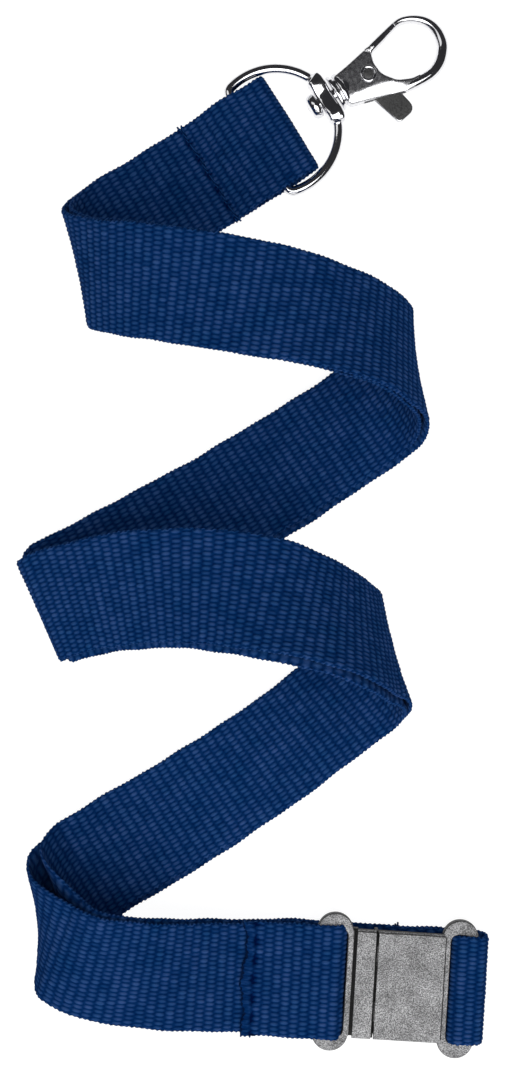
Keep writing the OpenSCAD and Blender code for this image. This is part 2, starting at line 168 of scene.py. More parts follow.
def layers():
    """Stations of the outer and the inner layer, with the station numbers where the turns meet."""
    outer, inner, cuts = [], [], [0]
    before, last = OUTER_START, len(FOLDS) - 1
    for i in range(last + 2):
        end = OUTER_END if i > last else fold_station(FOLDS[i], 0)
        k = 0.9 if i > last else FOLDS[i][SPAN]
        begin_side = FOLDS[i - 1][STAGGER][1] if i else 0
        end_side = begin_side if i > last else FOLDS[i][STAGGER][0]
        if 0 < i <= last:
            cuts.append(len(outer) + FINE // 2)
        for n in range(FINE):
            u = n / FINE
            step = 10 + 12 * u if i > last else (-12 * (1 - u) if i == last else 99)
            add(outer, inner, span_station(before, end, k, u), mix((begin_side, end_side), ease(u)), step)
        if i <= last:
            for n in range(FINE):
                u = n / FINE
                step = 10 * u if i == last else 99
                add(outer, inner, fold_station(FOLDS[i], u), mix(FOLDS[i][STAGGER], u), step)
            before = fold_station(FOLDS[i], 1)
    add(outer, inner, OUTER_END, FOLDS[last][STAGGER][1], 99)
    cuts.append(len(outer) - 1)
    return outer, inner, cuts


def add(outer, inner, station, side, step):
    """Adds a station to both layers, which lie further apart where step is between -2 and 12, round the last
    fold; step is 0 where that fold begins and 10 where it ends."""
    s = settle(station, FLOOR_OUTER)
    room = LAST_TURN_GAP * math.sin(math.pi * (step + 2) / 14) if -2 < step < 12 else 0
    outer.append(s)
    inner.append((s[0] + np.cross(s[1], s[2]) * (PITCH + room) + s[2] * side, s[1], s[2]))


def even(stations, start=0.0):
    """Arrays of points, directions along and across, and lengths, at even steps along the strap."""
    p, t, w = (np.array([s[k] for s in stations], float) for k in range(3))
    run = np.concatenate([[0], np.cumsum(np.linalg.norm(np.diff(p, axis=0), axis=1))])
    n = max(8, round(run[-1] / STEP))
    at = np.linspace(0, run[-1], n + 1)
    p, t, w = (np.stack([np.interp(at, run, v[:, k]) for k in range(3)], 1) for v in (p, t, w))
    t = t / np.linalg.norm(t, axis=1, keepdims=True)
    w = w - (w * t).sum(1, keepdims=True) * t
    w = w / np.linalg.norm(w, axis=1, keepdims=True)
    return p, t, w, start + at


# ---- Woven webbing ----
def weave(s, w):
    """Height of the woven face over its middle, for lengths s and places w across, in mm."""
    k0 = np.floor(w / END)
    best = np.full(np.broadcast(s, w).shape, -9.0)
    for dk in (-1, 0, 1):
        k = k0 + dk
        row = s / ROW + k
        up = np.cos(math.pi * row)
        near = np.round(row).astype(int)
        rise = FLOAT_RISE * (1 + 0.22 * JITTER[(k.astype(int) + 30) % 64, near % 512])
        off = (w - (k + 0.5) * END) / FLOAT_HALF
        height = rise * up - FLOAT_ROUND * (1 - np.sqrt(np.clip(1 - off**2, 0, 1)))
        best = np.maximum(best, height)
    between = np.abs(np.cos(math.pi * s / ROW + 0.25 * np.sin(w * 2.1) + 0.12 * np.sin(w * 9.7)))
    return best - GROOVE * (1 - between) ** 3


def wander(s, seed, size, wave):
    """A slow smooth wander along the strap."""
    r = np.random.default_rng(seed)
    parts = (np.sin(s * 2 * math.pi / (wave * q) + r.uniform(0, 6.28)) for q in (0.62, 1, 1.7))
    return size * sum(math.sqrt(0.4) * part for part in parts)


def webbing(name, stations, start, fine, seams=(), ragged=0, spread=0.0):
    """One stretch of woven webbing, and the length where it ends. fine is 1 where the face along N shows most,
    -1 where the other does, 0 for both. seams are (length from its start, depth, width) of the lines that
    sewing pulls in; ragged is how uneven its last end is cut, or 0; spread is how much further each edge
    lies out where the strap is pressed flat."""
    p, t, w, s = even(stations, start)
    n = np.cross(t, w)
    cols = [FACE_COLS if fine >= 0 else BACK_COLS, FACE_COLS if fine <= 0 else BACK_COLS]
    dent = np.zeros_like(s)
    for at, depth, wide in seams:
        dent = dent - depth * np.exp(-(((s - start) - at) / wide) ** 2)
    spread = spread * ease(np.clip((s - s[0]) / 9, 0, 1))
    parts, lies = [], []
    ripple = wander(s, 11, 0.07, 23)
    scallop = (0.09 + wander(s, 5, 0.03, 2.6)) * np.cos(2 * math.pi * s / (ROW / 2))
    edge = [wander(s, 3 + q, 0.09, 14) + spread for q in (0, 1)]
    for side, count in ((1, cols[0]), (-1, cols[1])):
        across = np.linspace(-HALF_FACE, HALF_FACE, count) * side
        widen = 1 + np.where(across < 0, edge[0][:, None], edge[1][:, None]) / HALF_FACE
        near_edge = ease(np.clip((np.abs(across) - HALF_FACE) / 0.8 + 1, 0, 1)) * np.sign(across)
        place_w = across[None, :] * widen + scallop[:, None] * near_edge[None, :]
        h = weave(s[:, None], across[None, :] + (0.0 if side > 0 else END))
        if ragged:
            h = fray(h, s, across)
        rim = np.clip((np.abs(across) - HALF_FACE + 0.5) / 0.5, 0, 1) ** 2 * 0.12
        pucker = dent[:, None] * (0.55 + 0.45 * np.cos(2 * math.pi * across / STITCH))[None, :]
        rise = WEB_T / 2 - 0.09 + h - rim[None, :] + pucker
        out = side * rise + ripple[:, None] * np.cos(across * 0.35)[None, :] * 0.6
        parts.append(p[:, None] + place_w[..., None] * w[:, None] + out[..., None] * n[:, None])
        # lie holds the place across, the length along and the weave's height; that height, with the seam's
        # pucker added, drives the painted shade and painted highlight of the webbing's colour
        lie = (np.broadcast_to(across, h.shape), np.broadcast_to(s[:, None], h.shape), h + 0.4 * pucker)
        lies.append(np.stack(lie, -1))
        for angle in SELVEDGE:
            a = math.radians(angle)
            far = side * (HALF_FACE + 0.24 * math.cos(a) + edge[1 if side > 0 else 0] + scallop * 1.15)
            high = side * (WEB_T / 2 - 0.16) * math.sin(a) + 0.05 * np.cos(2 * math.pi * s / ROW)
            parts.append((p + far[:, None] * w + high[:, None] * n)[:, None])
            # bead: a height that alternates along the rolled edge and gives it painted highlight and painted
            # shade
            bead = 0.02 + 0.1 * np.cos(2 * math.pi * s / (ROW / 2))
            lies.append(np.stack([np.full_like(s, side * HALF_FACE), s, bead], -1)[:, None])
    ring, lie = np.concatenate(parts, 1), np.concatenate(lies, 1)
    if ragged:
        fade = np.clip(1 - np.abs(s - s[-1]) / 2.5, 0, 1)[:, None]
        x = lie[..., 0]
        wave = np.sin(x * 0.55 + 1.3) + 0.5 * np.sin(x * 1.9) + 0.35 * np.sin(x * 7.1)
        ring += (fade * wave * ragged)[..., None] * t[:, None]
    ring = ring + MIDDLE
    ring[..., 2] = np.maximum(ring[..., 2], 0.02)
    o = tube(name, ring, materials["webbing"], caps=True)
    data = o.data.attributes.new("lie", "FLOAT_VECTOR", "POINT").data
    data.foreach_set("vector", lie.reshape(-1, 3).astype(np.float32).ravel())
    return o, s[-1]


def fray(h, s, across):
    """The weave's height h with its floats lost in low lumps beside the last end."""
    zone = np.clip(FRAYED - np.abs(s - s[-1]), 0, 1)[:, None]
    bumps = np.sin(across * 4.1 + 1.5 * np.sin(across * 1.7) + 2 * s[:, None])
    lumps = bumps * np.sin(across * 9.3 + s[:, None])
    return h * (1 - 0.8 * zone) + zone * (0.07 * lumps - 0.03)


def tube(name, ring, material, caps=False, closed=False):
    """A mesh from rings of points in mm, each ring going round the same way."""
    rows, cols = ring.shape[:2]
    i = np.arange(rows if closed else rows - 1)
    j = np.arange(cols)
    a = (i[:, None] * cols + j).ravel()
    b = (i[:, None] * cols + (j + 1) % cols).ravel()
    step = ((i + 1) % rows)[:, None] * cols
    c = (step + (j + 1) % cols).ravel()
    d = (step + j).ravel()
    faces = np.stack([a, b, c, d], 1)
    mesh = bpy.data.meshes.new(name)
    loops, starts = faces.ravel(), np.arange(len(faces)) * 4
    if caps and not closed:
        extra = np.concatenate([np.arange(cols)[::-1], (rows - 1) * cols + np.arange(cols)])
        starts = np.concatenate([starts, [len(loops), len(loops) + cols]])
        loops = np.concatenate([loops, extra])
    mesh.vertices.add(rows * cols)
    mesh.vertices.foreach_set("co", (ring.reshape(-1, 3) * MM).astype(np.float32).ravel())
    mesh.loops.add(len(loops))
    mesh.loops.foreach_set("vertex_index", loops.astype(np.int32))
    mesh.polygons.add(len(starts))
    mesh.polygons.foreach_set("loop_start", starts.astype(np.int32))
    mesh.update(calc_edges=True)
    mesh.validate()
    mesh.polygons.foreach_set("use_smooth", np.ones(len(mesh.polygons), bool))
    mesh.set_sharp_from_angle(angle=math.radians(62))
    if volume(mesh) < 0:
        mesh.flip_normals()
    o = bpy.data.objects.new(name, mesh)
    bpy.context.scene.collection.objects.link(o)
    mesh.materials.append(material)
    return o


def volume(mesh):
    co = np.zeros(len(mesh.vertices) * 3, np.float32)
    mesh.vertices.foreach_get("co", co)
    co = co.reshape(-1, 3).astype(float)
    mesh.calc_loop_triangles()
    tri = np.zeros(len(mesh.loop_triangles) * 3, np.int32)
    mesh.loop_triangles.foreach_get("vertices", tri)
    a, b, c = (co[tri.reshape(-1, 3)[:, k]] for k in range(3))
    return float((a * np.cross(b, c)).sum())


# ---- Materials ----
materials = {}


class Nodes:
    """Short calls for the node tree of one material."""

    def __init__(self, name):
        self.material = bpy.data.materials.new(name)
        self.material.use_nodes = True
        self.tree = self.material.node_tree
        self.shader = self.tree.nodes["Principled BSDF"]
        materials[name] = self.material

    def node(self, kind, **settings):
        made = self.tree.nodes.new("ShaderNode" + kind)
        for key, value in settings.items():
            setattr(made, key, value)
        return made

    def link(self, a, b):
        self.tree.links.new(a, b)

    def put(self, **values):
        for key, value in values.items():
            self.shader.inputs[key.replace("_", " ")].default_value = value

    def scaled(self, value, by, plus=None):
        """value * by, plus a number if there is one."""
        made = self.node("Math", operation="MULTIPLY" if plus is None else "MULTIPLY_ADD")
        self.link(value, made.inputs[0])
        made.inputs[1].default_value = by
        if plus is not None:
            made.inputs[2].default_value = plus
        return made.outputs[0]

    def noise(self, scale, detail=2.0, vector=None, rough=0.5):
        made = self.node("TexNoise")
        made.inputs["Scale"].default_value = scale
        made.inputs["Detail"].default_value = detail
        made.inputs["Roughness"].default_value = rough
        self.link(vector or self.node("TexCoord").outputs["Object"], made.inputs["Vector"])
        return made.outputs["Fac"]

    def ramp(self, factor, *stops):
        made = self.node("ValToRGB")
        while len(made.color_ramp.elements) < len(stops):
            made.color_ramp.elements.new(0.5)
        for element, (at, colour) in zip(made.color_ramp.elements, stops, strict=True):
            element.position = at
            element.color = (*colour, 1)
        self.link(factor, made.inputs["Fac"])
        return made.outputs["Color"]

    def multiply(self, a, b):
        made = self.node("Mix", data_type="RGBA", blend_type="MULTIPLY")
        made.inputs["Factor"].default_value = 1.0
        self.link(a, made.inputs[6])
        self.link(b, made.inputs[7])
        return made.outputs[2]

    def bump(self, height, strength, distance, under=None):
        made = self.node("Bump")
        made.inputs["Strength"].default_value = strength
        made.inputs["Distance"].default_value = distance
        self.link(height, made.inputs["Height"])
        if under:
            self.link(under, made.inputs["Normal"])
        return made.outputs["Normal"]


def webbing_material():
    """Painted shade between the floats and painted highlight on their tops, by their height, with streaks
    along the filaments.
    """
    m = Nodes("webbing")
    lie = m.node("Attribute", attribute_name="lie", attribute_type="GEOMETRY")
    parts = m.node("SeparateXYZ")
    m.link(lie.outputs["Vector"], parts.inputs[0])
    height = m.scaled(parts.outputs[2], 3.2, plus=0.58)
    filament = m.node("CombineXYZ")
    m.link(m.scaled(parts.outputs[0], 14.0), filament.inputs[0])
    m.link(m.scaled(parts.outputs[1], 1.1), filament.inputs[1])
    fibres = m.noise(1.0, 3.0, filament.outputs[0], 0.6)
    # Dark stop: painted shade in the grooves; purplish top stop: painted highlight on the floats
    colour = m.ramp(height, (0.1, (0.0, 0.005, 0.04)), (0.55, (0.002, 0.024, 0.105)),
                    (1.0, (0.02, 0.062, 0.19)))
    streaks = m.ramp(fibres, (0.3, (0.5, 0.72, 0.8)), (0.7, (1.5, 1.25, 1.15)))
    colour = m.multiply(colour, streaks)
    cloudy = m.ramp(m.noise(260.0, 4.0), (0.3, (0.5, 0.84, 0.88)), (0.7, (1.5, 1.14, 1.1)))
    colour = m.multiply(colour, cloudy)
    m.link(colour, m.shader.inputs["Base Color"])
    m.link(m.scaled(fibres, 0.25, plus=0.5), m.shader.inputs["Roughness"])
    m.link(m.bump(fibres, 0.5, 0.00006), m.shader.inputs["Normal"])
    m.put(Specular_IOR_Level=0.0, Sheen_Weight=0.02, Sheen_Roughness=0.5, Sheen_Tint=(0.4, 0.55, 1.0, 1))


def thread_material():
    m = Nodes("thread")
    twist = m.node("TexWave", wave_type="BANDS", bands_direction="DIAGONAL")
    m.link(m.node("TexCoord").outputs["Object"], twist.inputs["Vector"])
    twist.inputs["Scale"].default_value = 900.0
    twist.inputs["Distortion"].default_value = 1.5
    colour = m.ramp(twist.outputs["Fac"], (0.1, (0.0, 0.008, 0.045)), (0.9, (0.008, 0.042, 0.15)))
    m.link(colour, m.shader.inputs["Base Color"])
    m.link(m.bump(twist.outputs["Fac"], 0.6, 0.00005), m.shader.inputs["Normal"])
    m.put(Roughness=0.9, Specular_IOR_Level=0.0)


def metal_material(name, tint, dark, roughness, grain, scale):
    """Plating that is slightly uneven, with fine grain over shallow waves."""
    m = Nodes(name)
    worn = m.noise(scale, 4.0, rough=0.6)
    m.link(m.ramp(worn, (0.35, dark), (0.6, tint)), m.shader.inputs["Base Color"])
    m.link(m.scaled(worn, roughness, plus=roughness * 0.6), m.shader.inputs["Roughness"])
    waves = m.bump(m.noise(330.0, 1.0), 1.0, 0.00002)
    m.link(m.bump(m.noise(scale * 1.7, 2.0), grain, 0.0001, waves), m.shader.inputs["Normal"])
    m.put(Metallic=1.0)


def buckle_material(name, shade):
    """Spark-textured plastic; shade is painted shade that darkens the sides and the grooves."""
    m = Nodes(name)
    grain = m.noise(4900.0, 2.0, rough=0.8)
    coarse = m.noise(260.0, 3.0, rough=0.6)
    colour = m.ramp(grain, (0.36, (0.06, 0.06, 0.062)), (0.5, (0.27, 0.27, 0.275)),
                    (0.64, (0.62, 0.62, 0.63)))
    cloudy = m.ramp(coarse, (0.35, (0.7 * shade,) * 3), (0.65, (1.12 * shade,) * 3))
    m.link(m.multiply(colour, cloudy), m.shader.inputs["Base Color"])
    m.link(m.ramp(grain, (0.3, (0.7, 0.7, 0.7)), (0.7, (0.5, 0.5, 0.5))), m.shader.inputs["Roughness"])
    m.link(m.bump(grain, 0.5, 0.0001), m.shader.inputs["Normal"])
    m.put(Specular_IOR_Level=0.3)


def floor_material():
    m = Nodes("floor")
    paper = m.ramp(m.noise(6.0, 2.0), (0.3, (0.19, 0.19, 0.19)), (0.7, (0.21, 0.21, 0.21)))
    m.link(paper, m.shader.inputs["Base Color"])
    m.put(Roughness=0.9, Specular_IOR_Level=0.0, Emission_Color=(1, 1, 1, 1), Emission_Strength=0.93)


webbing_material()
thread_material()
metal_material("chrome", (0.83, 0.83, 0.85), (0.74, 0.74, 0.76), 0.09, 0.05, 900.0)
metal_material("cast_chrome", (0.83, 0.83, 0.85), (0.7, 0.7, 0.72), 0.24, 0.12, 1500.0)
metal_material("dull_chrome", (0.2, 0.2, 0.2), (0.09, 0.09, 0.09), 0.6, 0.5, 3200.0)
metal_material("spring_steel", (0.6, 0.6, 0.6), (0.5, 0.5, 0.5), 0.25, 0.1, 2000.0)
buckle_material("buckle_plastic", 1.0)
# painted shade: a darker copy of the plastic for the side walls and bevels
buckle_material("buckle_side_painted_shade", 0.16)
# painted shade: a near-black copy of the plastic for the gaps and recesses
buckle_material("buckle_groove_painted_shade", 0.05)
floor_material()


# ---- The strap ----
outer, inner, cuts = layers()


def keep(node, o, body, flat=None):
    """Puts a piece in its node's place; flat, a sheet's length, is not used."""
    o.name = node + "_detail"
    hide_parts(node)
    if body:
        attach(o, body)


def round_bar(x, z, r, angles=BEND_STEPS):
    """Places and directions (x, z, dx, dz) round a bar at x, z."""
    turns = [(math.cos(math.radians(a)), math.sin(math.radians(a))) for a in angles]
    return [(x + r * c, z + r * sn, -sn, c) for c, sn in turns]


def tail():
    """The two ends of the tail that lies back from the tongue's bar over the outer layer."""
    start = place(BUCKLE_AT, BUCKLE_DIR, (-TONGUE_BAR - 4, 0, BAR_Z + WRAP_R))
    p, t, w = span_station(OUTER_END, OUTER_JOIN, 1, 0.15)
    end = p + np.cross(t, -w) * (WEB_T + 0.1)
    return (start, -heading(BUCKLE_DIR), heading(BUCKLE_DIR - 90)), (end, -t, w)


def strap():
    across = heading(END_DIR - 90)
    loop = [(end_station(LOOP_LEN, FLOOR_OUTER)[0], heading(END_DIR), across)]
    for x, z, dx, dz in round_bar(-LOOP_R - WEB_T / 2, FLOOR_OUTER + LOOP_R, LOOP_R):
        loop.append((place(END_AT, END_DIR, (x, 0, z)), heading(END_DIR) * dx + UP * dz, across))
    top, under = end_station(LOOP_LEN - 7.4, LOOP_TOP), end_station(LOOP_LEN, FLOOR_INNER)
    loop += [span_station(top, under, 1, k / 20) for k in range(21)]
    o, at = webbing("ring_loop", loop, 0.0, 1)
    keep("ring_loop", o, "strap", at)
    outer_at, inner_at = 3.0, at
    for i in range(5):
        part = slice(cuts[i], cuts[i + 1] + 1)
        o, end = webbing(f"outer_turn_{i + 1}", outer[part], outer_at, -1)
        keep(f"outer_turn_{i + 1}", o, "strap", end - outer_at)
        outer_at = end
        sewn = [(0.6, 0.4, 0.6)] if i == 0 else ()
        o, end = webbing(f"inner_turn_{i + 1}", inner[part], inner_at, 1, seams=sewn)
        keep(f"inner_turn_{i + 1}", o, "strap", end - inner_at)
        inner_at = end
    across = heading(BUCKLE_DIR - 90)
    path = [span_station(OUTER_END, OUTER_JOIN, 1, k / 20) for k in range(21)]
    for x, z, dx, dz in round_bar(-TONGUE_BAR, BAR_Z, WRAP_R):
        path.append((place(BUCKLE_AT, BUCKLE_DIR, (x, 0, z)), heading(BUCKLE_DIR) * dx + UP * dz, across))
    path += [span_station(*tail(), 1, k / 20) for k in range(21)]
    sewn_at = even(path)[3][-1] - 2.0
    o, end = webbing("tongue_loop", path, outer_at, 0, seams=[(sewn_at, 0.4, 0.7)], ragged=0.4, spread=0.55)
    keep("tongue_loop", o, "strap", end - outer_at)
    inner_end, inner_join = inner[-1], buckle_station(JOIN_AT, FLOOR_OUTER)
    slack = [span_station(inner_end, inner_join, 1, k / 30) for k in range(31)]
    o, end = webbing("inner_slack", slack, inner_at, 1)
    keep("inner_slack", o, None, end - inner_at)
    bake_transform(o)
    inner_at = end
    run = [buckle_station(JOIN_AT + (RUN_END - JOIN_AT) * k / 10, FLOOR_OUTER) for k in range(11)]
    o, end = webbing("inner_floor_run", run, inner_at, 1)
    keep("inner_floor_run", o, "socket", end - inner_at)
    inner_at = end
    low = WEB_T / 2
    r = (BAR_Z + WRAP_R - low) / 2
    line = [(RUN_END, low, 1, 0)]
    line += [(TURN_X + WRAP_R * dz, low + r - r * dx, dx, dz) for _, _, dx, dz in round_bar(0, 0, 1)]
    line += round_bar(SOCKET_BAR, BAR_Z, WRAP_R, range(90, 181, 6))
    line += [(SOCKET_BAR - WRAP_R + 0.15, 3.4, -0.5, -1), (RUN_END - 3.4, 2.05, -1, -0.1),
             (-2, WEB_T * 1.5 + 0.1, -1, 0)]
    path = [(place(BUCKLE_AT, BUCKLE_DIR, (x, 0, z)), unit(heading(BUCKLE_DIR) * dx + UP * dz), across)
            for x, z, dx, dz in line]
    o, end = webbing("socket_loop", path, inner_at, 1, ragged=0.2)
    keep("socket_loop", o, "socket", end - inner_at)


strap()


# ---- Solid pieces in the hook's and the buckle's own places ----
BEVEL_STEPS, SHARP = 4, math.radians(35)


def hook_point(x, y, z):
    return place(END_AT, END_DIR, (x - BAR_BACK, y, z + AXIS_Z)) + MIDDLE


def buckle_point(x, y, z):
    return place(BUCKLE_AT, BUCKLE_DIR, (x, y, z + BAR_Z)) + MIDDLE


def sweep(name, path, size, material, where, closed=False, sides=28, power=2.0):
    """A bar swept along a flat path of (x, y); size gives its half width and half height at each point."""
    pts = np.array(path, float)
    if closed:
        t = np.roll(pts, -1, 0) - np.roll(pts, 1, 0)
    else:
        t = np.gradient(pts, axis=0)
    t = t / np.linalg.norm(t, axis=1, keepdims=True)
    normal = np.stack([-t[:, 1], t[:, 0]], 1)
    rings = []
    for k, (p, nrm) in enumerate(zip(pts, normal, strict=True)):
        wide, high = size[k] if isinstance(size, list) else size
        ring = []
        for q in range(sides):
            a = 2 * math.pi * q / sides
            c, s = math.cos(a), math.sin(a)
            e = 2 / (power[k] if isinstance(power, list) else power)
            x = wide * math.copysign(abs(c) ** e, c)
            z = high * math.copysign(abs(s) ** e, s)
            ring.append(where(p[0] + nrm[0] * x, p[1] + nrm[1] * x, z))
        rings.append(ring)
    return tube(name, np.array(rings), material, caps=True, closed=closed)


def revolve(name, profile, material, to_point, steps=48, oval=1.0):
    """A turned piece from (distance along its axis, radius); to_point places (along, side, up)."""
    rings = [[to_point(x, oval * r * math.cos(2 * math.pi * k / steps), r * math.sin(2 * math.pi * k / steps))
              for k in range(steps)] for x, r in profile]
    return tube(name, np.array(rings), material, caps=True)


def rounded(profile, r, steps=5):
    """The corners of a closed line rounded, each with its own radius or the common one."""
    out = []
    n = len(profile)
    for k in range(n):
        p = np.array(profile[k][:2], float)
        rr = profile[k][2] if len(profile[k]) > 2 else r
        a, b = np.array(profile[k - 1][:2], float), np.array(profile[(k + 1) % n][:2], float)
        da, db = unit(a - p), unit(b - p)
        angle = math.acos(float(np.clip(da @ db, -1, 1)))
        if rr <= 0 or angle > 3.05:
            out.append(p)
            continue
        trim = min(rr / math.tan(angle / 2), 0.48 * np.linalg.norm(a - p), 0.48 * np.linalg.norm(b - p))
        start, end = p + da * trim, p + db * trim
        for q in range(steps + 1):
            u = q / steps
            out.append((1 - u) ** 2 * start + 2 * u * (1 - u) * p + u * u * end)
    return out


def plate(name, outline, holes, half_t, bevel, material, crown=None, grid=0.6):
    """A flat piece cut to an outline with holes, rims rounded, faces shaped by crown(x, y, z), in mm."""
    curve = bpy.data.curves.new(name, "CURVE")
    curve.dimensions, curve.fill_mode = "2D", "BOTH"
    curve.extrude, curve.bevel_depth, curve.bevel_resolution = half_t - bevel, bevel, BEVEL_STEPS
    curve.offset = -bevel
    for loop in [outline, *holes]:
        spline = curve.splines.new("POLY")
        spline.points.add(len(loop) - 1)
        for point, xy in zip(spline.points, loop, strict=True):
            point.co = (xy[0], xy[1], 0, 1)
        spline.use_cyclic_u = True
    temporary = bpy.data.objects.new(name + "_curve", curve)
    bpy.context.scene.collection.objects.link(temporary)
    bpy.context.view_layer.update()
    mesh = bpy.data.meshes.new_from_object(temporary.evaluated_get(bpy.context.evaluated_depsgraph_get()))
    bpy.data.objects.remove(temporary)
    bm = bmesh.new()
    bm.from_mesh(mesh)
    bmesh.ops.remove_doubles(bm, verts=bm.verts, dist=1e-4)
    if crown:
        lo = [min(v.co[k] for v in bm.verts) for k in (0, 1)]
        hi = [max(v.co[k] for v in bm.verts) for k in (0, 1)]
        for k in (0, 1):
            normal = Vector((1, 0, 0)) if k == 0 else Vector((0, 1, 0))
            for c in np.arange(lo[k] + grid, hi[k], grid):
                bmesh.ops.bisect_plane(bm, geom=bm.verts[:] + bm.edges[:] + bm.faces[:],
                                       plane_co=normal * float(c), plane_no=normal)
        for v in bm.verts:
            v.co.z = crown(v.co.x, v.co.y, v.co.z)
    bmesh.ops.recalc_face_normals(bm, faces=bm.faces)
    return from_bmesh(name, bm, material)


def box_mesh(lo, hi):
    bm = bmesh.new()
    bmesh.ops.create_cube(bm, size=1)
    for v in bm.verts:
        for k in range(3):
            v.co[k] = lo[k] + (v.co[k] + 0.5) * (hi[k] - lo[k])
    return bm


def cut(o, lo, hi):
    """The object less a box."""
    knife = from_bmesh("knife", box_mesh(lo, hi), o.data.materials[0])
    change = o.modifiers.new("cut", "BOOLEAN")
    change.operation, change.solver, change.object = "DIFFERENCE", "EXACT", knife
    bpy.context.view_layer.update()
    mesh = bpy.data.meshes.new_from_object(o.evaluated_get(bpy.context.evaluated_depsgraph_get()))
    o.modifiers.clear()
    o.data = mesh
    bpy.data.objects.remove(knife)


def put(o, where):
    """Moves an object's vertices from a part's own millimetres to their place."""
    for v in o.data.vertices:
        v.co = Vector(where(*v.co)) * MM
    o.data.set_sharp_from_angle(angle=SHARP)
    return o


def block(name, lo, hi, bevel, material):
    """A box with rounded edges."""
    bm = box_mesh(lo, hi)
    bmesh.ops.bevel(bm, geom=bm.edges[:], offset=bevel, segments=BEVEL_STEPS, profile=0.5, affect="EDGES")
    return from_bmesh(name, bm, material)


def from_bmesh(name, bm, material):
    mesh = bpy.data.meshes.new(name)
    bm.to_mesh(mesh)
    bm.free()
    mesh.polygons.foreach_set("use_smooth", np.ones(len(mesh.polygons), bool))
    mesh.set_sharp_from_angle(angle=SHARP)
    o = bpy.data.objects.new(name, mesh)
    bpy.context.scene.collection.objects.link(o)
    mesh.materials.append(material)
    return o


def join(name, *objects):
    """One mesh object from several, all in the row frame."""
    bm = bmesh.new()
    used = []
    for o in objects:
        own = list(o.data.materials)
        used += [m for m in own if m not in used]
        start = len(bm.faces)
        bm.from_mesh(o.data)
        bm.faces.ensure_lookup_table()
        for face in bm.faces[start:]:
            face.material_index = used.index(own[face.material_index])
    for o in objects:
        bpy.data.objects.remove(o)
    made = from_bmesh(name, bm, used[0])
    for m in used[1:]:
        made.data.materials.append(m)
    return made


def arc(centre, r, start, end, steps):
    angles = [math.radians(start + (end - start) * k / steps) for k in range(steps + 1)]
    return [(centre[0] + r * math.cos(a), centre[1] + r * math.sin(a)) for a in angles]


def ring():
    corner_y = math.sqrt((ARC_R - CORNER_R) ** 2 - (CORNER_R - ARC_X) ** 2)
    meet = math.degrees(math.atan2(corner_y, CORNER_R - ARC_X))
    path = [(0, y) for y in np.linspace(-corner_y, corner_y, 20)[:-1]]
    path += arc((CORNER_R, corner_y), CORNER_R, 180, meet, 10)[:-1]
    path += arc((ARC_X, 0), ARC_R, meet, FLAT_FROM, 60)[:-1]
    chord = ARC_R * math.sin(math.radians(FLAT_FROM))
    path += [(BOSS_X, y) for y in np.linspace(chord, -chord, 60)[:-1]]
    path += arc((ARC_X, 0), ARC_R, -FLAT_FROM, -meet, 60)[:-1]
    path += arc((CORNER_R, -corner_y), CORNER_R, -meet, -180, 10)[:-1]
    size, power = [], []
    for x, y in path:
        u = ease(min(1, max(0, (5.0 - abs(y)) / 0.7))) if x > ARC_X + 4 else 0
        wave = 0.34 * math.cos(2 * math.pi * (y - 0.4) / 6.4)
        size.append((WIRE_D / 2 + u * 0.58, WIRE_D / 2 + u * (0.85 - wave)))
        power.append(2 + 3.5 * u)
    o = sweep("d_ring", path, size, materials["chrome"], hook_point, closed=True, power=power)
    keep("d_ring", o, "ring")


def stud():
    back = BOSS_X - 1.7
    head = [(1.75, 0.3), (1.75, 1.5), (1.68, 1.8), (1.5, 2.05), (1.1, 2.3), (0.7, 2.38), (0.3, 2.34),
            (0.1, 2.2), (0.08, 1.3), (0.05, 1.2)]
    profile = [(back - x, r) for x, r in head] + [(FACE_X + 1.5, 1.2), (FACE_X + 1.5, 0.3)]
    o = revolve("swivel_stud", profile, materials["chrome"], hook_point)
    keep("swivel_stud", o, "hook")


